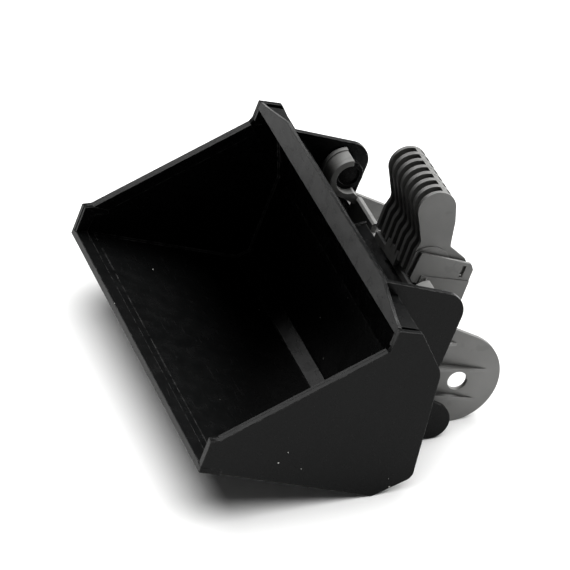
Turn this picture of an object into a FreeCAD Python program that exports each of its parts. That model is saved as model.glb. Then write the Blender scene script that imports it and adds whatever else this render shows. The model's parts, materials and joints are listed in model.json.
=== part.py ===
import FreeCAD, Part
import math
import os

# Scale-model skid steer bucket with its quick coupler and thumb lever, in millimetres.
#
# Everything is drawn in the bucket's own frame and stood up at the end:
#   x  across the bucket, 0 in the middle
#   y  back from the lip, along the underside of the floor
#   z  up from the underside of the floor
# Outlines lie in the y, z plane. A point is (y, z), or (y, z, corner radius).

# Driving dimensions
WIDTH = 120.0            # over both side plates
SIDE_T = 1.5             # side plate
FLOOR_T = 1.3            # floor plate
SHEET_T = 1.5            # back plates and top plate
CHANNEL_T = 1.2          # wall of the closed channel behind the top edge
RIM_W = 3.3              # stiffening band round the mouth
RIM_T = 0.9              # how far that band stands in from a side plate
CORNER_SLOT_W = 1.5      # slot in the top plate beside a side plate
CORNER_SLOT_DEPTH = 0.9

LIP_DEPTH = 6.0          # cutting edge, front to back
LIP_DROP = 0.3           # how far the cutting edge hangs below the floor
LIP_CORNER_Z = 9.1       # height of the side plate at the lip
MOUTH_Y = 38.75          # front of the mouth's top corner
TOP_Z = 49.2             # top of the top plate
HEEL_Y = 49.83           # where the floor line meets the heel slope
HEEL_R = 1.0             # corner radius there, on which the bucket stands
HEEL_TOP = (59.05, 7.4)  # where the heel slope meets the rear edge
BACK_Y = 52.6            # inside of the back plate
BACK_FOOT_Z = 4.0        # its lower end
BACK_BEND_Z = 28.2       # where the back leans forward
TOP_INSIDE_Y = 45.1      # inside of the leaning plate at the top plate

GUARD_T = 1.1            # spill guard
GUARD_FOOT_Z = 47.4
GUARD_TOP_Z = 53.9

PIVOT = (59.0, 44.4)     # stub pins, on which the coupler swings
PIVOT_R = 4.2
PIVOT_CLEARANCE = 0.08   # radial, in the hooks
PIVOT_REACH = 33.5       # inner end of a stub pin, from the middle

FLANGE_IN = 38.4         # mount flange, inner and outer face from the middle
FLANGE_OUT = 40.0
LOBE = (69.4, 13.6)      # round lower end of a mount flange
LOBE_R = 5.4

KEEPER_HALF = 21.0       # keeper box, half its width
KEEPER_BACK_Y = 62.4
KEEPER_RIB_T = 0.8
KEEPER_RIB_H = 0.45
KEEPER_FOOT_Z = 22.0
KEEPER_WING_Z = 29.5     # top of the wings that reach from the keeper to the flanges
KEEPER_WING_Y = 60.1     # their back, clear of the coupler's ears

PLATE_FRONT_Y = 62.8     # coupler plate
PLATE_BACK_Y = 64.5
PLATE_TOP_Z = 39.35
PLATE_FOOT_Z = 14.0
NOTCH_IN = 14.3          # pair of notches in its top edge
NOTCH_OUT = 17.6
NOTCH_Z = 36.6
PLATE_BEVEL_Y = 0.5
PLATE_BEVEL_Z = 0.6

EAR_IN = 32.2            # coupler ear, inner and outer face from the middle
EAR_OUT = 33.6
EAR_END = (74.1, 23.8)   # centre of its round end
EAR_END_R = 13.5
EAR_BORE = (75.9, 23.4)  # hole for the loader arm's pin
EAR_BORE_R = 2.75
EAR_TOP = (62.8, 39.8)   # front corners of the ear
EAR_FOOT = (62.8, 14.0)
RIB_H = 4.3              # tapered ribs on an ear: height at the root, and thickness
RIB_T = 0.9

HOOK_IN = 31.0           # hook, inner and outer end from the middle
HOOK_OUT = 38.1
HOOK_R = 5.95
COLLAR_R = 6.3
COLLAR_W = 1.6
HOOK_TIP_DEG = 102.0     # the hook runs from its tip round the front to its foot
HOOK_FOOT_DEG = 300.0

LEVER_HALF = 12.7        # thumb lever
LEVER_PIVOT = (66.3, 44.4)
LEVER_PIN_R = 1.5
LEVER_CLEARANCE = 0.06   # radial, on its pin
LEVER_RIBS = 8
LEVER_RIB_T = 1.35
LEVER_HEAD = (62.5, 61.5)
LEVER_HEAD_R = 5.3
LEVER_HUB_R = 3.8        # round the pin, between the ribs
LEVER_BOSS_R = 6.4       # round the pin, on the two outer ribs
LEVER_BOSS_H = 0.3       # how far it stands out from them
TOOTH_HALF = 4.0

CHEEK_IN = 13.0          # side walls of the lever housing
CHEEK_OUT = 14.3
CHEEK_STEP = 0.35        # how far the skirt stands out
HOUSING_BACK_Y = 78.8
HOUSING_FOOT_Z = 33.5
HOUSING_T = 1.2
HOUSING_REAR_Z = 42.6    # top of its rear wall
PIN_SEAT_WALL = 0.5      # what is left of a cheek outside the end of the lever pin

SPRING_HALF = 4.0        # leaf spring under the lever's tail
SPRING_T = 0.5

Z_AXIS = FreeCAD.Vector(0, 0, 1)
X_AXIS = FreeCAD.Vector(1, 0, 0)


# Drawing helpers

def point(x, yz):
    return FreeCAD.Vector(x, yz[0], yz[1])


def corner_arc(before, at, after, radius):
    """The two ends and the middle of the arc that rounds the corner `at`."""
    to_before = (before - at).normalize()
    to_after = (after - at).normalize()
    half = to_before.getAngle(to_after) / 2
    bisector = (to_before + to_after).normalize()
    reach = radius / math.tan(half)
    centre = at + bisector * (radius / math.sin(half))
    return at + to_before * reach, centre - bisector * radius, at + to_after * reach


def outline_face(points, x):
    """Face inside the closed outline, in the plane at x, with its stated corners rounded."""
    corners = [point(x, p) for p in points]
    edges = []
    joints = []
    for i, p in enumerate(points):
        if len(p) == 3:
            start, middle, end = corner_arc(corners[i - 1], corners[i], corners[(i + 1) % len(points)], p[2])
            edges.append(Part.Arc(start, middle, end).toShape())
            joints.append((start, end))
        else:
            joints.append((corners[i], corners[i]))
    for i in range(len(points)):
        start = joints[i][1]
        end = joints[(i + 1) % len(points)][0]
        edges.append(Part.LineSegment(start, end).toShape())
    return Part.Face(Part.Wire(Part.__sortEdges__(edges)))


def slab(points, x_low, x_high):
    """Plate with the given outline, from x_low to x_high."""
    return outline_face(points, x_low).extrude(FreeCAD.Vector(x_high - x_low, 0, 0))


def rod(centre, radius, x_low, x_high):
    return Part.makeCylinder(radius, x_high - x_low, point(x_low, centre), X_AXIS)


def polar(centre, radius, degrees):
    angle = math.radians(degrees)
    return (centre[0] + radius * math.cos(angle), centre[1] + radius * math.sin(angle))


def tangent_point(outside, centre, radius, side):
    """Where the line from an outside point touches a circle; side is +1 for above, -1 for below."""
    dy = outside[0] - centre[0]
    dz = outside[1] - centre[1]
    away = math.atan2(dz, dy)
    half = math.acos(radius / math.hypot(dy, dz))
    return polar(centre, radius, math.degrees(away - side * half))


def inset(points, distance):
    """Convex outline, listed clockwise, with every side moved in by the distance."""
    lines = []
    for i, (y0, z0) in enumerate(points):
        y1, z1 = points[(i + 1) % len(points)]
        length = math.hypot(y1 - y0, z1 - z0)
        normal = ((z1 - z0) / length, (y0 - y1) / length)
        lines.append((normal, normal[0] * y0 + normal[1] * z0 + distance))
    result = []
    for i, ((a1, b1), c1) in enumerate(lines):
        (a0, b0), c0 = lines[i - 1]
        det = a0 * b1 - a1 * b0
        result.append(((c0 * b1 - c1 * b0) / det, (a0 * c1 - a1 * c0) / det))
    return result


def joined(shapes):
    return shapes[0].fuse(shapes[1:]).removeSplitter()


def mirrored(shape):
    return shape.mirror(FreeCAD.Vector(0, 0, 0), X_AXIS)


def pair(name, shape):
    """A part on the +x side and its mirror image."""
    return {name + "_right": shape, name + "_left": mirrored(shape)}


# Bucket

HALF = WIDTH / 2
INSIDE = HALF - SIDE_T
TOP_INSIDE_Z = TOP_Z - SHEET_T
BACK_OUT_Y = BACK_Y + SHEET_T
GUARD_BACK_Y = MOUTH_Y + GUARD_T
LEAN_FOOT = (BACK_OUT_Y, BACK_BEND_Z + 0.5)     # outer face of the leaning plate
LEAN_TOP = (TOP_INSIDE_Y + 1.6, TOP_INSIDE_Z)
CHANNEL_REAR = [(53.0, 41.1), (54.6, 38.6), (55.4, 34.4)]
RIM_FOOT = (2.5, 9.9)    # ends of the mouth's slanted edge
RIM_HEAD = (38.2, 42.6)


def side_plate():
    return slab([
        (0.0, FLOOR_T),
        (LIP_DEPTH, FLOOR_T),
        (LIP_DEPTH, 0.0),
        (HEEL_Y, 0.0, HEEL_R),
        HEEL_TOP + (3.0,),
        (54.98, 39.2, 6.0),
        (45.5, 49.6, 0.8),
        (MOUTH_Y, 49.3),
        (MOUTH_Y, 44.0),
        RIM_HEAD,
        RIM_FOOT,
        (0.0, LIP_CORNER_Z),
    ], INSIDE, HALF)


def cutting_edge():
    """Full-width lip bar, with a sloping band along its inner edge."""
    bar = slab([(0.0, -LIP_DROP), (LIP_DEPTH, -LIP_DROP), (LIP_DEPTH, FLOOR_T), (0.0, FLOOR_T)], -HALF, HALF)
    band_half = INSIDE - RIM_T
    band = slab([(0.0, FLOOR_T), (RIM_W, FLOOR_T), (RIM_W, 2.2), (0.0, 1.6)], -band_half, band_half)
    return joined([bar, band])


def floor_plate():
    foot_y = HEEL_Y - 0.83
    return slab([(LIP_DEPTH, 0.0), (foot_y, 0.0), (foot_y, FLOOR_T), (LIP_DEPTH, FLOOR_T)], -INSIDE, INSIDE)


def heel_plate():
    """Narrow sloping plate between the floor and the back."""
    foot_y = HEEL_Y - 0.83
    return slab([
        (foot_y, 0.0),
        (foot_y + 0.3, 0.0),
        (BACK_OUT_Y, BACK_FOOT_Z - 0.5),
        (BACK_OUT_Y, BACK_FOOT_Z),
        (BACK_Y, BACK_FOOT_Z),
        (foot_y + 0.4, FLOOR_T),
        (foot_y, FLOOR_T),
    ], -INSIDE, INSIDE)


def back_plate():
    return slab([
        (BACK_Y, BACK_FOOT_Z),
        (BACK_OUT_Y, BACK_FOOT_Z),
        (BACK_OUT_Y, BACK_BEND_Z),
        (BACK_Y, BACK_BEND_Z),
    ], -INSIDE, INSIDE)


def upper_back_plate():
    return slab([
        (BACK_Y, BACK_BEND_Z),
        (BACK_OUT_Y, BACK_BEND_Z),
        LEAN_FOOT,
        LEAN_TOP,
        (TOP_INSIDE_Y, TOP_INSIDE_Z),
    ], -INSIDE, INSIDE)


def top_plate():
    """Plate behind the spill guard, with a shallow slot along each side plate."""
    plate = slab([
        (GUARD_BACK_Y, TOP_INSIDE_Z),
        LEAN_TOP,
        (45.4, TOP_Z),
        (GUARD_BACK_Y, TOP_Z),
    ], -INSIDE, INSIDE)
    slot = Part.makeBox(CORNER_SLOT_W, LEAN_TOP[0] - GUARD_BACK_Y, CORNER_SLOT_DEPTH,
                        FreeCAD.Vector(INSIDE - CORNER_SLOT_W, GUARD_BACK_Y, TOP_Z - CORNER_SLOT_DEPTH))
    return plate.cut(slot).cut(mirrored(slot))


def top_channel():
    """Closed five-sided channel behind the leaning plate, the bucket's stiffest member."""
    outer = [LEAN_TOP] + CHANNEL_REAR + [LEAN_FOOT]
    inner = inset(outer, CHANNEL_T)
    return slab(outer, -INSIDE, INSIDE).cut(slab(inner, -INSIDE, INSIDE))


def spill_guard():
    """Upright strip along the top of the mouth, tapering towards both sides."""
    shoulder, taper, flat = INSIDE, 55.0, 40.0
    right = [(shoulder, GUARD_FOOT_Z), (shoulder, 49.5), (taper, 50.1), (flat, GUARD_TOP_Z)]
    left = [(-x, z) for x, z in reversed(right)]
    corners = [FreeCAD.Vector(x, MOUTH_Y, z) for x, z in right + left]
    face = Part.Face(Part.makePolygon(corners + corners[:1]))
    return face.extrude(FreeCAD.Vector(0, GUARD_T, 0))


def lip_end_block():
    """Thick end of the mouth's band where the side plate meets the cutting edge."""
    return slab([
        (0.2, FLOOR_T),
        (0.2, LIP_CORNER_Z),
        (RIM_FOOT[0], RIM_FOOT[1] - 0.1),
        (7.0, 9.6),
        (7.6, 8.4),
        (RIM_W + 0.6, 7.6),
        (RIM_W, FLOOR_T),
    ], INSIDE - RIM_T, INSIDE)


def top_corner_block():
    return slab([
        (MOUTH_Y, 44.0),
        (MOUTH_Y, GUARD_FOOT_Z),
        (MOUTH_Y + RIM_W, GUARD_FOOT_Z),
        (MOUTH_Y + RIM_W, 43.6),
        (39.6, 42.6),
    ], INSIDE - RIM_T, INSIDE)


def side_rim():
    """Slanted stiffening band on the inside of a side plate."""
    run = (RIM_HEAD[0] - RIM_FOOT[0], RIM_HEAD[1] - RIM_FOOT[1])
    length = math.hypot(run[0], run[1])
    inwards = (run[1] / length * RIM_W, -run[0] / length * RIM_W)
    band = slab([
        RIM_FOOT,
        RIM_HEAD,
        (RIM_HEAD[0] + inwards[0], RIM_HEAD[1] + inwards[1]),
        (RIM_FOOT[0] + inwards[0], RIM_FOOT[1] + inwards[1]),
    ], INSIDE - RIM_T, INSIDE)
    between_blocks = band.cut(lip_end_block()).cut(top_corner_block())
    return max(between_blocks.Solids, key=lambda solid: solid.Volume)


def mount_flange():
    """Upright plate on the back of the bucket that carries a stub pin, with a round foot."""
    web = slab([
        (GUARD_BACK_Y, TOP_Z),
        (GUARD_BACK_Y, 52.4),
        (66.0, 51.65, 5.9),
        (65.6, 31.4, 4.0),
        (63.9, 20.5, 3.0),
        tangent_point((63.9, 20.5), LOBE, LOBE_R, 1),
        LOBE,
        tangent_point((58.0, 5.6), LOBE, LOBE_R, -1),
        (58.0, 5.6),
        (BACK_OUT_Y, 4.2),
        LEAN_FOOT,
        CHANNEL_REAR[2],
        CHANNEL_REAR[1],
        CHANNEL_REAR[0],
        LEAN_TOP,
        (45.4, TOP_Z),
    ], FLANGE_IN, FLANGE_OUT)
    return joined([web, rod(LOBE, LOBE_R, FLANGE_IN, FLANGE_OUT)])


def pivot_pin():
    """Stub pin with a shallow dished end."""
    dish_depth = 0.6
    pin = rod(PIVOT, PIVOT_R, PIVOT_REACH, FLANGE_IN)
    return pin.cut(rod(PIVOT, PIVOT_R - 1.2, PIVOT_REACH, PIVOT_REACH + dish_depth))


def latch_keeper():
    """Box under the lever's tooth, with a rib at each end of its deck and wings out to the flanges."""
    deck_front = CHANNEL_REAR[2]
    deck_back = (KEEPER_BACK_Y, 38.0)
    corner_r = 1.5
    box = slab([
        (BACK_OUT_Y, KEEPER_FOOT_Z),
        LEAN_FOOT,
        deck_front,
        (deck_back[0], deck_back[1] - KEEPER_RIB_H),
        (KEEPER_BACK_Y, KEEPER_FOOT_Z, corner_r),
    ], -KEEPER_HALF, KEEPER_HALF)
    rib = slab([deck_front, deck_back, (KEEPER_BACK_Y, 36.0), (57.0, 34.0)],
               KEEPER_HALF - KEEPER_RIB_T, KEEPER_HALF)
    wings = slab([
        (BACK_OUT_Y, KEEPER_FOOT_Z),
        LEAN_FOOT,
        (KEEPER_WING_Y, KEEPER_WING_Z),
        (KEEPER_WING_Y, KEEPER_FOOT_Z, corner_r),
    ], -FLANGE_IN, FLANGE_IN)
    return joined([box, wings, rib, mirrored(rib)])


# Coupler

def coupler_plate():
    """Plate between the ears, bevelled along its top edge and notched beside the lever housing."""
    plate = slab([
        (PLATE_FRONT_Y, PLATE_FOOT_Z),
        (PLATE_FRONT_Y, PLATE_TOP_Z - PLATE_BEVEL_Z),
        (PLATE_FRONT_Y + PLATE_BEVEL_Y, PLATE_TOP_Z),
        (PLATE_BACK_Y, PLATE_TOP_Z),
        (PLATE_BACK_Y, PLATE_FOOT_Z),
    ], -EAR_IN, EAR_IN)
    notch = Part.makeBox(NOTCH_OUT - NOTCH_IN, PLATE_BACK_Y - PLATE_FRONT_Y, PLATE_TOP_Z - NOTCH_Z,
                         FreeCAD.Vector(NOTCH_IN, PLATE_FRONT_Y, NOTCH_Z))
    return plate.cut(notch).cut(mirrored(notch))


def tapered_rib(root_z, tip):
    """Triangular rib standing out of an ear's face, highest at the coupler plate."""
    corners = [
        point(EAR_OUT, (PLATE_FRONT_Y, root_z)),
        point(EAR_OUT + RIB_H, (PLATE_FRONT_Y, root_z)),
        point(EAR_OUT, tip),
    ]
    face = Part.Face(Part.makePolygon(corners + corners[:1]))
    return face.extrude(Z_AXIS * -RIB_T)


def coupler_ear():
    """Ear with a round end and a pin hole, stiffened by tapered ribs on its outer face."""
    web = slab([
        EAR_TOP,
        tangent_point(EAR_TOP, EAR_END, EAR_END_R, 1),
        EAR_END,
        tangent_point(EAR_FOOT, EAR_END, EAR_END_R, -1),
        EAR_FOOT,
    ], EAR_IN, EAR_OUT)
    ribs = [
        tapered_rib(35.6, (71.4, 34.7)),
        tapered_rib(27.6, (82.9, 28.5)),
        tapered_rib(19.6, (82.7, 19.2)),
    ]
    ear = joined([web, rod(EAR_END, EAR_END_R, EAR_IN, EAR_OUT)] + ribs)
    return ear.cut(rod(EAR_BORE, EAR_BORE_R, EAR_IN, EAR_OUT + RIB_H))


def hook_sector(radius, x_low, x_high):
    """Full round of the given radius without the part towards the hook's mouth."""
    far = 2.5 * radius
    mouth = slab([
        PIVOT,
        polar(PIVOT, far, HOOK_FOOT_DEG - 360),
        polar(PIVOT, far, (HOOK_FOOT_DEG - 360 + HOOK_TIP_DEG) / 2),
        polar(PIVOT, far, HOOK_TIP_DEG),
    ], x_low, x_high)
    return rod(PIVOT, radius, x_low, x_high).cut(mouth)


def hook():
    """Open hook that wraps the front of a stub pin, with a collar at its outer end."""
    bore = PIVOT_R + PIVOT_CLEARANCE
    foot = slab([
        (PIVOT[0], PIVOT[1] - HOOK_R),
        (PIVOT[0], PIVOT[1] - bore - 0.3),
        polar(PIVOT, bore, HOOK_FOOT_DEG),
        (PLATE_FRONT_Y, 39.7),
        (PLATE_FRONT_Y, 37.2),
    ], HOOK_IN, HOOK_OUT)
    body = joined([
        hook_sector(HOOK_R, HOOK_IN, HOOK_OUT),
        hook_sector(COLLAR_R, HOOK_OUT - COLLAR_W, HOOK_OUT),
        foot,
    ])
    return body.cut(rod(PIVOT, bore, HOOK_IN, HOOK_OUT))


def housing_cheek():
    """Side wall of the lever housing, with a thicker skirt, a slit near its rear and a seat for the lever pin."""
    step = CHEEK_STEP
    panel = slab([
        (PLATE_BACK_Y, 42.4),
        (PLATE_BACK_Y, 39.8),
        (62.8, 39.9),
        (61.8, 41.2),
        (62.3, 49.0, 0.6),
        (77.6, 48.2, 0.8),
        (HOUSING_BACK_Y, 46.6),
        (HOUSING_BACK_Y, 43.2),
    ], CHEEK_IN, CHEEK_OUT - step)
    skirt = slab([
        (PLATE_BACK_Y, HOUSING_FOOT_Z),
        (PLATE_BACK_Y, 42.4),
        (HOUSING_BACK_Y, 43.2),
        (HOUSING_BACK_Y, HOUSING_FOOT_Z, 2.0),
    ], CHEEK_IN, CHEEK_OUT)
    slit = slab([(75.4, 43.8), (75.5, 47.3), (76.4, 47.2), (76.3, 43.8)], CHEEK_IN, CHEEK_OUT)
    cheek = joined([panel, skirt]).cut(slit)
    return cheek.cut(rod(LEVER_PIVOT, LEVER_PIN_R, CHEEK_IN, CHEEK_OUT - step - PIN_SEAT_WALL))


def housing_floor():
    return slab([
        (PLATE_BACK_Y, HOUSING_FOOT_Z),
        (PLATE_BACK_Y, HOUSING_FOOT_Z + HOUSING_T),
        (HOUSING_BACK_Y - HOUSING_T, HOUSING_FOOT_Z + HOUSING_T),
        (HOUSING_BACK_Y - HOUSING_T, HOUSING_FOOT_Z),
    ], -CHEEK_IN, CHEEK_IN)


def housing_rear_wall():
    return slab([
        (HOUSING_BACK_Y - HOUSING_T, HOUSING_FOOT_Z),
        (HOUSING_BACK_Y - HOUSING_T, HOUSING_REAR_Z),
        (HOUSING_BACK_Y - 0.4, HOUSING_REAR_Z),
        (HOUSING_BACK_Y, HOUSING_REAR_Z - 0.4),
        (HOUSING_BACK_Y, HOUSING_FOOT_Z, 2.0 - HOUSING_T),
    ], -CHEEK_IN, CHEEK_IN)


def housing_gusset():
    """Three-sided brace against the outside of a cheek, over the coupler plate's top edge."""
    front = FreeCAD.Vector(CHEEK_OUT, 64.6, 39.6)
    top = FreeCAD.Vector(CHEEK_OUT, 66.0, 42.2)
    back = FreeCAD.Vector(CHEEK_OUT, 71.0, 38.6)
    foot = FreeCAD.Vector(CHEEK_OUT + 5.0, 66.6, 38.0)
    faces = [(front, top, back), (front, top, foot), (top, back, foot), (front, back, foot)]
    shell = Part.Shell([Part.Face(Part.makePolygon(list(f) + [f[0]])) for f in faces])
    return Part.Solid(shell)


def lever_pin():
    """Plain pin, held between blind seats in the two cheeks."""
    half = CHEEK_OUT - CHEEK_STEP - PIN_SEAT_WALL
    return rod(LEVER_PIVOT, LEVER_PIN_R, -half, half)


def lever_spring():
    """Bent leaf between the housing floor and the lever's tail."""
    base = HOUSING_FOOT_Z + HOUSING_T
    return slab([
        (67.5, base),
        (76.6, base),
        (76.9, base + 0.9),
        (74.6, 46.4),
        (73.0, 46.9),
        (73.0, 46.9 - SPRING_T),
        (74.2, 46.0),
        (76.3, base + 1.1),
        (76.1, base + SPRING_T),
        (67.5, base + SPRING_T),
    ], -SPRING_HALF, SPRING_HALF)


# Thumb lever

def lever_rib(x_low, x_high):
    """One grip rib, from the round head down to the pivot."""
    blade = slab([
        (61.2, 41.3),
        (61.0, 48.4),
        (61.8, 51.2, 3.0),
        (57.75, 59.2),
        LEVER_HEAD,
        (67.5, 63.2),
        (69.0, 59.0, 6.0),
        (69.9, 54.2),
        (70.5, 51.5),
        (70.4, 45.0),
        (66.3, 40.6),
    ], x_low, x_high)
    return joined([blade, rod(LEVER_HEAD, LEVER_HEAD_R, x_low, x_high)])


def lever_side():
    """Outer rib, with a boss at the pivot, cut away to clear the coupler plate, and a tail behind it."""
    inner = LEVER_HALF - LEVER_RIB_T
    face = LEVER_HALF - LEVER_BOSS_H
    boss = rod(LEVER_PIVOT, LEVER_BOSS_R, inner, LEVER_HALF)
    ahead = slab([(58.0, 36.0), (58.0, 52.0), (61.1, 52.0), (61.1, 41.3), (66.0, 39.9), (66.0, 36.0)],
                 inner, LEVER_HALF)
    tail = slab([
        (67.0, 47.0),
        (70.4, 51.5),
        (76.0, 48.7, 0.4),
        (77.2, 47.4),
        (77.2, 44.2),
        (70.0, 40.5),
    ], inner, face)
    return joined([lever_rib(inner, face), boss.cut(ahead), tail])


def lever_spine():
    """Web that joins the ribs, from the top of the head down to the hub, with a seat for the spring."""
    face = LEVER_HALF - LEVER_BOSS_H
    web = slab([
        (LEVER_HEAD[0], LEVER_HEAD[1] + LEVER_HEAD_R),
        polar(LEVER_HEAD, LEVER_HEAD_R, 71.0),
        (66.3, 60.5),
        (67.6, 55.0),
        (68.2, 47.0),
        (66.4, 47.0),
        (66.0, 54.5),
        (64.7, 60.0),
    ], -face, face)
    seat = slab([(67.4, 51.0), (74.8, 47.9), (74.8, 47.1), (67.4, 48.2)], -SPRING_HALF, SPRING_HALF)
    hub = rod(LEVER_PIVOT, LEVER_HUB_R, -LEVER_HALF, LEVER_HALF)
    return joined([web, seat, hub])


def thumb_lever():
    """Ribbed thumb lever, its pivot hub, its tail and its tooth, moulded in one piece."""
    pitch = (2 * LEVER_HALF - LEVER_RIB_T) / (LEVER_RIBS - 1)
    parts = [lever_spine(), lever_side(), mirrored(lever_side())]
    for i in range(1, LEVER_RIBS - 1):
        x_low = -LEVER_HALF + i * pitch
        parts.append(lever_rib(x_low, x_low + LEVER_RIB_T))
    tooth = slab([(61.3, 43.0), (61.2, 38.9), (61.9, 38.7), (62.4, 39.4), (64.4, 41.5)], -TOOTH_HALF, TOOTH_HALF)
    hole = rod(LEVER_PIVOT, LEVER_PIN_R + LEVER_CLEARANCE, -LEVER_HALF, LEVER_HALF)
    return joined(parts + [tooth]).cut(hole)


# Assembly

def bucket_parts():
    parts = {
        "cutting_edge": cutting_edge(),
        "floor_plate": floor_plate(),
        "heel_plate": heel_plate(),
        "back_plate": back_plate(),
        "upper_back_plate": upper_back_plate(),
        "top_plate": top_plate(),
        "top_channel": top_channel(),
        "spill_guard": spill_guard(),
        "latch_keeper": latch_keeper(),
    }
    parts.update(pair("side_plate", side_plate()))
    parts.update(pair("lip_end_block", lip_end_block()))
    parts.update(pair("top_corner_block", top_corner_block()))
    parts.update(pair("side_rim", side_rim()))
    parts.update(pair("mount_flange", mount_flange()))
    parts.update(pair("pivot_pin", pivot_pin()))
    return parts


def coupler_parts():
    parts = {
        "coupler_plate": coupler_plate(),
        "housing_floor": housing_floor(),
        "housing_rear_wall": housing_rear_wall(),
        "lever_pin": lever_pin(),
        "lever_spring": lever_spring(),
    }
    parts.update(pair("coupler_ear", coupler_ear()))
    parts.update(pair("hook", hook()))
    parts.update(pair("housing_cheek", housing_cheek()))
    parts.update(pair("housing_gusset", housing_gusset()))
    return parts


def standing_tilt():
    """Angle between the floor and the ground when it stands on its heel and the two ears."""
    heel_slope = math.atan2(HEEL_TOP[1], HEEL_TOP[0] - HEEL_Y)
    heel = (HEEL_Y - HEEL_R * math.tan(heel_slope / 2), HEEL_R)
    dy = EAR_END[0] - heel[0]
    dz = EAR_END[1] - heel[1]
    return math.degrees(math.atan2(dz, dy) - math.asin((EAR_END_R - HEEL_R) / math.hypot(dy, dz)))


def stand_up(parts):
    """Tilt every part back on to the heel and the ears, and centre the whole over the origin."""
    for shape in parts.values():
        shape.rotate(FreeCAD.Vector(0, 0, 0), X_AXIS, -standing_tilt())
    box = Part.makeCompound(list(parts.values())).optimalBoundingBox(False)
    offset = FreeCAD.Vector(0, -(box.YMin + box.YMax) / 2, -box.ZMin)
    for shape in parts.values():
        shape.translate(offset)
    return offset


def build():
    parts = bucket_parts()
    parts.update(coupler_parts())
    parts["thumb_lever"] = thumb_lever()
    offset = stand_up(parts)
    return parts, offset


def export(parts):
    os.makedirs("parts", exist_ok=True)
    for name, shape in parts.items():
        shape.exportStep("parts/" + name + ".step")


if __name__ == "__main__":
    export(build()[0])
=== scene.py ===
import json
import math

import bmesh
import bpy
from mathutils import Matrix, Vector


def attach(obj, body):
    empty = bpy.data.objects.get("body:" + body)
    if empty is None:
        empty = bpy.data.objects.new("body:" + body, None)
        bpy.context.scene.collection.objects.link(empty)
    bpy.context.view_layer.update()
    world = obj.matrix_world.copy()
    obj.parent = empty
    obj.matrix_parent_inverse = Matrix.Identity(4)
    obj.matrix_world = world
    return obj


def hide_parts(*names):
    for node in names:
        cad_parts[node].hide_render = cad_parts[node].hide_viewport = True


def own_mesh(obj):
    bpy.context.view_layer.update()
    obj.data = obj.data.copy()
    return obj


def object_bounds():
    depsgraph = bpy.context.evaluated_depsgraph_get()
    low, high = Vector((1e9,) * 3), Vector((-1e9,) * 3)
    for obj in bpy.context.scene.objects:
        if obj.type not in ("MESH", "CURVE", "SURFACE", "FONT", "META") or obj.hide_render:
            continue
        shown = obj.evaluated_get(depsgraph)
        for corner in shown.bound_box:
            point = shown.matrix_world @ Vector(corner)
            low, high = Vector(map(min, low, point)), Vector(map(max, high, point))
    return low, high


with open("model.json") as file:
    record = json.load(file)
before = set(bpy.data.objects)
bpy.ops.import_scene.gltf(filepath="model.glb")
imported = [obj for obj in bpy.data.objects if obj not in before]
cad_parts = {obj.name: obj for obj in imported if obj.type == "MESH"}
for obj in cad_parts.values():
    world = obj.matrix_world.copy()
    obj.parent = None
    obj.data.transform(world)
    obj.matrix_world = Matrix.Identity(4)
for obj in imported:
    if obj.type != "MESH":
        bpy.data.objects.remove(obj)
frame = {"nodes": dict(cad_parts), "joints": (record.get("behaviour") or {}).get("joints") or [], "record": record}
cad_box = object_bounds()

MM = 0.001

# Camera, in the row frame
CAMERA_AZIMUTH = math.radians(72.31)
CAMERA_ELEVATION = math.radians(33.08)
CAMERA_DISTANCE = 1.45
CAMERA_LENS = 340.8
AIM_FROM_CENTRE = Vector((-13.6, 1.0, -9.2)) * MM    # from the middle of the CAD box

# Light
SKY = 0.07                # overhead and halfway up
HORIZON = 0.85            # close to the horizon
HORIZON_HEIGHTS = (0.03, 0.36)    # between these the horizon fades into the sky; 1 is straight up
FRONT_SHARE = 0.25        # what is left of both in front of the bucket
FRONT_DEPTHS = (-0.8, 0.1)        # between these the light recovers; -1 is straight in front
FLOOR_SIZE = 6.0
LAMP_AIM = Vector((0, 0, 0.02))
LAMPS = [                 # name, place, size, power, and how it treats the floor
    ("overhead", Vector((-0.10, 0.35, 1.50)), 3.2, 86.0, "INCLUDE"),
    ("key", Vector((-0.42, 0.95, 1.20)), 1.0, 47.0, "EXCLUDE"),
    ("far side", Vector((-1.20, -0.15, 0.90)), 0.8, 5.0, "EXCLUDE"),
]

# Edges
EDGE_R = 0.12 * MM
SPRING_EDGE_R = 0.08 * MM
SHARP_FROM = math.radians(25)     # faces that turn more than this keep a crease between them
ROUND_FROM = math.radians(30)     # and these edges are rounded
FLUSH = ("floor_plate", "heel_plate", "back_plate", "upper_back_plate", "top_plate")    # these stay unrounded

# The bucket's drawing frame: y back from the lip, z up from the underside of the floor, in millimetres
PIVOT = (59.0, 44.4)
INSIDE = 58.5             # inner face of a side plate, from the middle
CAVITY = [                # inner faces of the plates across the bucket, from the lip round to the guard
    (6.0, 1.3), (49.4, 1.3), (52.6, 4.0), (52.6, 28.2), (45.1, 47.7), (39.85, 47.7),
]
FILLET_R = 0.7
FILLET_STEPS = 5
SUNK = 0.05               # how far a fillet's back reaches into the plates
SPRING_HALF = 4.0
SPRING = [                # outline of the leaf spring
    (67.5, 34.7), (76.6, 34.7), (76.9, 35.6), (74.6, 46.4), (73.0, 46.9),
    (73.0, 46.4), (74.2, 46.0), (76.3, 35.8), (76.1, 35.2), (67.5, 35.2),
]


def joint_place(name):
    return next(j["pos_m"] for j in frame["joints"] if j["name"] == name)


def floor_facing():
    """Which way the underside of the bucket's floor faces, as its mount says."""
    return next(m["axis"] for m in frame["record"]["mounts"] if m["name"] == "floor_underside")


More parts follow.
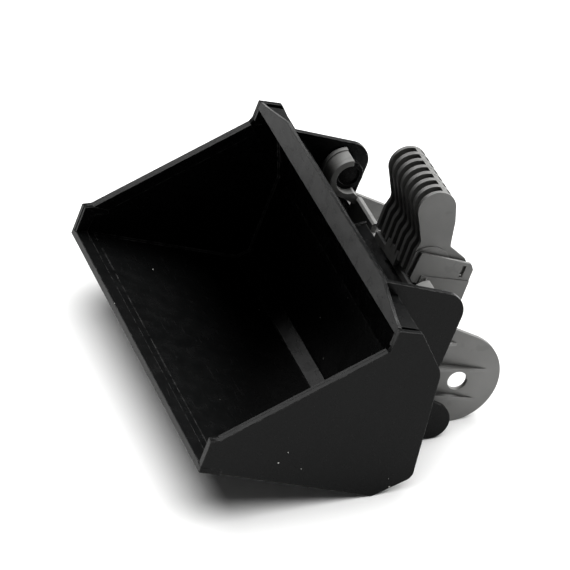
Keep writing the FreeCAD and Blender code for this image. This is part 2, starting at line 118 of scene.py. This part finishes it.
def standing(x, y, z):
    """Row-frame point, in metres, of a point in the bucket's drawing frame."""
    _, sine, cosine = [-value for value in floor_facing()]
    pivot = joint_place("coupler_swing")
    back, up = y - PIVOT[0], z - PIVOT[1]
    return Vector((
        x * MM,
        pivot[1] + (back * cosine + up * sine) * MM,
        pivot[2] + (up * cosine - back * sine) * MM,
    ))


# Camera, floor and light

def make_camera():
    back = Vector((
        math.sin(CAMERA_AZIMUTH) * math.cos(CAMERA_ELEVATION),
        -math.cos(CAMERA_AZIMUTH) * math.cos(CAMERA_ELEVATION),
        math.sin(CAMERA_ELEVATION),
    ))
    low, high = cad_box
    data = bpy.data.cameras.new("camera")
    data.lens = CAMERA_LENS
    data.clip_start = 0.01
    camera = bpy.data.objects.new("camera", data)
    camera.location = (low + high) / 2 + AIM_FROM_CENTRE + back * CAMERA_DISTANCE
    camera.rotation_euler = (-back).to_track_quat("-Z", "Y").to_euler()
    bpy.context.scene.collection.objects.link(camera)
    bpy.context.scene.camera = camera


def make_floor():
    half = FLOOR_SIZE / 2
    mesh = bpy.data.meshes.new("floor")
    corners = [(-half, -half, 0), (half, -half, 0), (half, half, 0), (-half, half, 0)]
    mesh.from_pydata(corners, [], [(0, 1, 2, 3)])
    floor = bpy.data.objects.new("floor", mesh)
    bpy.context.scene.collection.objects.link(floor)
    material = bpy.data.materials.new("floor")
    material.use_nodes = True
    shader = material.node_tree.nodes["Principled BSDF"]
    shader.inputs["Base Color"].default_value = (0.93, 0.93, 0.925, 1)
    shader.inputs["Roughness"].default_value = 0.9
    shader.inputs["Specular IOR Level"].default_value = 0.1
    mesh.materials.append(material)


def area_light(name, place, size, power, floor_state):
    """Round lamp that lights the floor alone (INCLUDE) or everything but the floor (EXCLUDE)."""
    data = bpy.data.lights.new(name, "AREA")
    data.shape = "DISK"
    data.size = size
    data.energy = power
    light = bpy.data.objects.new(name, data)
    light.location = place
    light.rotation_euler = (LAMP_AIM - place).to_track_quat("-Z", "Y").to_euler()
    bpy.context.scene.collection.objects.link(light)
    receivers = bpy.data.collections.new(name + " receivers")
    receivers.objects.link(bpy.data.objects["floor"])
    receivers.collection_objects[0].light_linking.link_state = floor_state
    light.light_linking.receiver_collection = receivers


def set_range(node, before, after):
    """Sets a Map Range node to turn the first pair of values into the second."""
    sockets = ("From Min", "From Max", "To Min", "To Max")
    for socket, value in zip(sockets, before + after):
        node.inputs[socket].default_value = value


def make_sky():
    """Dark sky over a bright horizon, dimmer in front of the bucket."""
    world = bpy.data.worlds.new("studio")
    world.use_nodes = True
    tree = world.node_tree
    direction = tree.nodes.new("ShaderNodeTexCoord")
    split = tree.nodes.new("ShaderNodeSeparateXYZ")
    fade = tree.nodes.new("ShaderNodeMapRange")
    fade.interpolation_type = "SMOOTHSTEP"
    set_range(fade, HORIZON_HEIGHTS, (HORIZON, SKY))
    tree.links.new(direction.outputs["Generated"], split.inputs[0])
    tree.links.new(split.outputs["Z"], fade.inputs["Value"])
    front = tree.nodes.new("ShaderNodeMapRange")
    front.interpolation_type = "SMOOTHSTEP"
    set_range(front, FRONT_DEPTHS, (FRONT_SHARE, 1.0))
    both = tree.nodes.new("ShaderNodeMath")
    both.operation = "MULTIPLY"
    tree.links.new(split.outputs["Y"], front.inputs["Value"])
    tree.links.new(fade.outputs["Result"], both.inputs[0])
    tree.links.new(front.outputs["Result"], both.inputs[1])
    tree.links.new(both.outputs[0], tree.nodes["Background"].inputs["Strength"])
    tree.nodes["Background"].inputs["Color"].default_value = (1, 1, 1, 1)
    bpy.context.scene.world = world


def make_light():
    make_sky()
    for lamp in LAMPS:
        area_light(*lamp)
    bpy.context.scene.view_settings.view_transform = "Standard"


# Materials

class Graph:
    """Shader nodes of one material, added and linked in one go."""

    def __init__(self, name):
        self.material = bpy.data.materials.new(name)
        self.material.use_nodes = True
        self.tree = self.material.node_tree
        self.shader = self.tree.nodes["Principled BSDF"]
        coordinates = self.add("ShaderNodeTexCoord")
        scaled = self.add("ShaderNodeVectorMath", operation="SCALE")
        self.tree.links.new(coordinates.outputs["Object"], scaled.inputs[0])
        scaled.inputs["Scale"].default_value = 1 / MM
        self.place = scaled.outputs[0]

    def add(self, kind, **settings):
        node = self.tree.nodes.new(kind)
        for key, value in settings.items():
            setattr(node, key, value)
        return node

    def put(self, value, socket):
        if isinstance(value, bpy.types.NodeSocket):
            self.tree.links.new(value, socket)
        else:
            socket.default_value = value

    def noise(self, scale, detail=2.0, roughness=0.5, stretch=None, distortion=0.0):
        """Noise from 0 to 1; scale is in features per millimetre."""
        node = self.add("ShaderNodeTexNoise")
        node.inputs["Scale"].default_value = scale
        node.inputs["Detail"].default_value = detail
        node.inputs["Roughness"].default_value = roughness
        node.inputs["Distortion"].default_value = distortion
        self.put(self.stretched(stretch) if stretch else self.place, node.inputs["Vector"])
        return node.outputs["Fac"]

    def stretched(self, factors):
        node = self.add("ShaderNodeVectorMath", operation="MULTIPLY")
        self.put(self.place, node.inputs[0])
        node.inputs[1].default_value = factors
        return node.outputs[0]

    def ramp(self, value, low, high, out_low=0.0, out_high=1.0):
        node = self.add("ShaderNodeMapRange")
        self.put(value, node.inputs["Value"])
        self.put(low, node.inputs["From Min"])
        self.put(high, node.inputs["From Max"])
        self.put(out_low, node.inputs["To Min"])
        self.put(out_high, node.inputs["To Max"])
        return node.outputs["Result"]

    def math(self, operation, a, b=0.0):
        node = self.add("ShaderNodeMath", operation=operation)
        self.put(a, node.inputs[0])
        self.put(b, node.inputs[1])
        return node.outputs[0]

    def mix(self, factor, a, b):
        node = self.add("ShaderNodeMix", data_type="RGBA")
        self.put(factor, node.inputs["Factor"])
        self.put(a, node.inputs[6])
        self.put(b, node.inputs[7])
        return node.outputs[2]

    def specks(self, scale, share, size):
        """Sparse round specks: 1 inside a speck. share is how many cells have one, size is against a cell."""
        node = self.add("ShaderNodeTexVoronoi")
        node.inputs["Scale"].default_value = scale
        self.put(self.place, node.inputs["Vector"])
        cell = self.add("ShaderNodeSeparateColor")
        self.put(node.outputs["Color"], cell.inputs[0])
        chosen = self.math("LESS_THAN", cell.outputs[0], share)
        limit = self.math("MULTIPLY", cell.outputs[1], size)
        near = self.math("LESS_THAN", node.outputs["Distance"], limit)
        return self.math("MULTIPLY", chosen, near)

    def edges(self, radius):
        """Near 1 along edges, 0 on open faces."""
        bevel = self.add("ShaderNodeBevel", samples=4)
        bevel.inputs["Radius"].default_value = radius
        geometry = self.add("ShaderNodeNewGeometry")
        dot = self.add("ShaderNodeVectorMath", operation="DOT_PRODUCT")
        self.put(bevel.outputs[0], dot.inputs[0])
        self.put(geometry.outputs["Normal"], dot.inputs[1])
        return self.ramp(dot.outputs["Value"], 0.995, 0.9)

    def bump(self, height, distance, strength=1.0, under=None):
        node = self.add("ShaderNodeBump")
        node.inputs["Strength"].default_value = strength
        node.inputs["Distance"].default_value = distance
        self.put(height, node.inputs["Height"])
        if under is not None:
            self.put(under, node.inputs["Normal"])
        return node.outputs[0]

    def finish(self, colour, roughness, normal):
        self.put(colour, self.shader.inputs["Base Color"])
        self.put(roughness, self.shader.inputs["Roughness"])
        self.put(normal, self.shader.inputs["Normal"])
        return self.material


def black_plastic():
    """Satin black moulding: fine grain, faint handling scuffs, paler edges and a few specks of dust."""
    g = Graph("black_plastic")
    g.shader.inputs["Specular IOR Level"].default_value = 0.095
    tone = g.mix(g.noise(0.05, 3.0), (0.0018, 0.0019, 0.0020, 1), (0.0035, 0.0037, 0.0037, 1))
    scuffs = g.ramp(g.noise(1.1, 4.0, 0.7, (0.12, 1.0, 1.0), 0.4), 0.60, 0.78)
    scuffed = g.mix(g.math("MULTIPLY", scuffs, 0.25), tone, (0.03, 0.03, 0.03, 1))
    worn = g.math("MULTIPLY", g.edges(0.35 * MM), g.ramp(g.noise(0.5, 3.0), 0.35, 0.7))
    edged = g.mix(g.math("MULTIPLY", worn, 0.8), scuffed, (0.10, 0.10, 0.098, 1))
    dusty = g.mix(g.math("MULTIPLY", g.specks(0.30, 0.12, 0.085), 0.85), edged, (0.60, 0.60, 0.57, 1))
    fine = g.ramp(g.noise(0.25, 4.0, 0.6), 0.3, 0.7, 0.20, 0.30)
    roughness = g.math("ADD", fine, g.math("MULTIPLY", scuffs, 0.12))
    waves = g.bump(g.noise(0.12, 2.0), 0.25 * MM, 0.5)
    grain = g.bump(g.noise(6.0, 3.0, 0.6), 0.02 * MM, 0.6, waves)
    return g.finish(dusty, roughness, grain)


def grey_plastic():
    """Satin mid-grey moulding with the faint swirling flow lines of cooled plastic."""
    g = Graph("grey_plastic")
    g.shader.inputs["Specular IOR Level"].default_value = 0.4
    tone = g.mix(g.noise(0.08, 3.0), (0.125, 0.124, 0.120, 1), (0.205, 0.205, 0.199, 1))
    swirl = g.add("ShaderNodeTexWave")
    swirl.inputs["Scale"].default_value = 0.06
    swirl.inputs["Distortion"].default_value = 7.0
    swirl.inputs["Detail"].default_value = 2.0
    swirl.inputs["Detail Scale"].default_value = 2.2
    g.put(g.place, swirl.inputs["Vector"])
    lines = g.ramp(swirl.outputs["Fac"], 0.0, 0.10, 1.0, 0.0)
    flowed = g.mix(g.math("MULTIPLY", lines, 0.24), tone, (0.07, 0.07, 0.068, 1))
    worn = g.math("MULTIPLY", g.edges(0.3 * MM), g.ramp(g.noise(0.7, 3.0), 0.3, 0.7))
    edged = g.mix(g.math("MULTIPLY", worn, 0.45), flowed, (0.36, 0.36, 0.35, 1))
    roughness = g.ramp(g.noise(0.3, 4.0, 0.6), 0.3, 0.7, 0.38, 0.52)
    waves = g.bump(g.noise(0.15, 2.0), 0.25 * MM, 0.5)
    grain = g.bump(g.noise(7.0, 3.0, 0.6), 0.02 * MM, 0.6, waves)
    return g.finish(edged, roughness, grain)


def spring_steel():
    """Bright strip with fine rolling lines along its length."""
    g = Graph("spring_steel")
    g.shader.inputs["Metallic"].default_value = 1.0
    rolled = g.noise(4.0, 3.0, 0.6, (1.0, 0.05, 0.05))
    colour = g.mix(rolled, (0.42, 0.42, 0.43, 1), (0.62, 0.62, 0.61, 1))
    roughness = g.ramp(rolled, 0.3, 0.7, 0.22, 0.42)
    return g.finish(colour, roughness, g.bump(rolled, 0.01 * MM))


# Surfaces of the CAD nodes

def weld_group():
    """Node group that joins split corners and keeps an edge sharp only where its faces turn."""
    group = bpy.data.node_groups.new("weld_and_smooth", "GeometryNodeTree")
    group.interface.new_socket("Geometry", in_out="INPUT", socket_type="NodeSocketGeometry")
    group.interface.new_socket("Geometry", in_out="OUTPUT", socket_type="NodeSocketGeometry")
    entry = group.nodes.new("NodeGroupInput")
    leave = group.nodes.new("NodeGroupOutput")
    merge = group.nodes.new("GeometryNodeMergeByDistance")
    merge.inputs["Distance"].default_value = 0.001 * MM
    drop = group.nodes.new("GeometryNodeRemoveAttribute")
    drop.inputs["Name"].default_value = "custom_normal"
    faces = group.nodes.new("GeometryNodeSetShadeSmooth")
    faces.domain = "FACE"
    edges = group.nodes.new("GeometryNodeSetShadeSmooth")
    edges.domain = "EDGE"
    edges.inputs["Shade Smooth"].default_value = False
    angle = group.nodes.new("GeometryNodeInputMeshEdgeAngle")
    turned = group.nodes.new("FunctionNodeCompare")
    turned.inputs[1].default_value = SHARP_FROM
    link = group.links.new
    link(entry.outputs[0], drop.inputs[0])
    link(drop.outputs[0], merge.inputs["Geometry"])
    link(merge.outputs[0], faces.inputs["Geometry"])
    link(faces.outputs[0], edges.inputs["Geometry"])
    link(angle.outputs["Unsigned Angle"], turned.inputs[0])
    link(turned.outputs[0], edges.inputs["Selection"])
    link(edges.outputs[0], leave.inputs[0])
    return group


def tidy_mesh(thing, group):
    """Welds the imported triangles and merges those that lie in one plane."""
    weld = thing.modifiers.new("weld", "NODES")
    weld.node_group = group
    flat = thing.modifiers.new("flat faces", "DECIMATE")
    flat.decimate_type = "DISSOLVE"
    flat.angle_limit = math.radians(0.5)


def soften_edges(thing, width):
    """Rounds the sharp edges of a moulding by a small radius."""
    bevel = thing.modifiers.new("edge radius", "BEVEL")
    bevel.width = width
    bevel.segments = 2
    bevel.limit_method = "ANGLE"
    bevel.angle_limit = ROUND_FROM
    bevel.harden_normals = True


def finish_nodes():
    materials = {
        "black_plastic": black_plastic(),
        "grey_plastic": grey_plastic(),
        "spring_steel": spring_steel(),
    }
    slots = {part["node"]: part["material_slot"] for part in frame["record"]["subparts"]}
    group = weld_group()
    for name, thing in frame["nodes"].items():
        thing.data.materials.clear()
        thing.data.materials.append(materials[slots[name]])
        tidy_mesh(thing, group)
        if name not in FLUSH:
            soften_edges(thing, EDGE_R)
    return materials


# Pieces added to the CAD nodes

def loft(name, loops, material, body):
    """Closed piece through loops that have equally many points."""
    form = bmesh.new()
    rows = [[form.verts.new(place) for place in loop] for loop in loops]
    for row, following in zip(rows, rows[1:]):
        for i, vertex in enumerate(row):
            form.faces.new((row[i - 1], vertex, following[i], following[i - 1]))
    form.faces.new(rows[0])
    form.faces.new(rows[-1])
    bmesh.ops.recalc_face_normals(form, faces=form.faces)
    mesh = bpy.data.meshes.new(name)
    form.to_mesh(mesh)
    form.free()
    mesh.materials.append(material)
    thing = bpy.data.objects.new(name, mesh)
    bpy.context.scene.collection.objects.link(thing)
    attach(thing, body)
    return thing


def mitres(path):
    """At each point of an open path, the step that moves both of its sides one unit to the left."""
    sides = []
    for (y0, z0), (y1, z1) in zip(path, path[1:]):
        length = math.hypot(y1 - y0, z1 - z0)
        sides.append(((z0 - z1) / length, (y1 - y0) / length))
    steps = []
    for (a0, b0), (a1, b1) in zip(sides[:1] + sides, sides + sides[-1:]):
        share = 1 + a0 * a1 + b0 * b1
        steps.append(((a0 + a1) / share, (b0 + b1) / share))
    return steps


def corner_fillet(name, side, material):
    """Concave fillet where a side plate meets the plates that run across the bucket."""
    loops = []
    for (y, z), (step_y, step_z) in zip(CAVITY, mitres(CAVITY)):
        section = [(-SUNK, -SUNK)]
        for i in range(FILLET_STEPS + 1):
            angle = math.pi / 2 * i / FILLET_STEPS
            section.append((FILLET_R * (1 - math.sin(angle)), FILLET_R * (1 - math.cos(angle))))
        loops.append([standing(side * (INSIDE - across), y + step_y * rise, z + step_z * rise)
                      for across, rise in section])
    fillet = loft(name, loops, material, "bucket")
    fillet.data.shade_smooth()


def pressed_spring(material):
    """Leaf spring lofted from its outline, in place of the stiff CAD one."""
    loops = [[standing(x, y, z) for y, z in SPRING] for x in (-SPRING_HALF, SPRING_HALF)]
    spring = loft("leaf_spring", loops, material, "coupler")
    soften_edges(spring, SPRING_EDGE_R)
    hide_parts("lever_spring")
    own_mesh(spring)


make_camera()
make_floor()
make_light()
materials = finish_nodes()
corner_fillet("corner_fillet_right", 1, materials["black_plastic"])
corner_fillet("corner_fillet_left", -1, materials["black_plastic"])
pressed_spring(materials["spring_steel"])
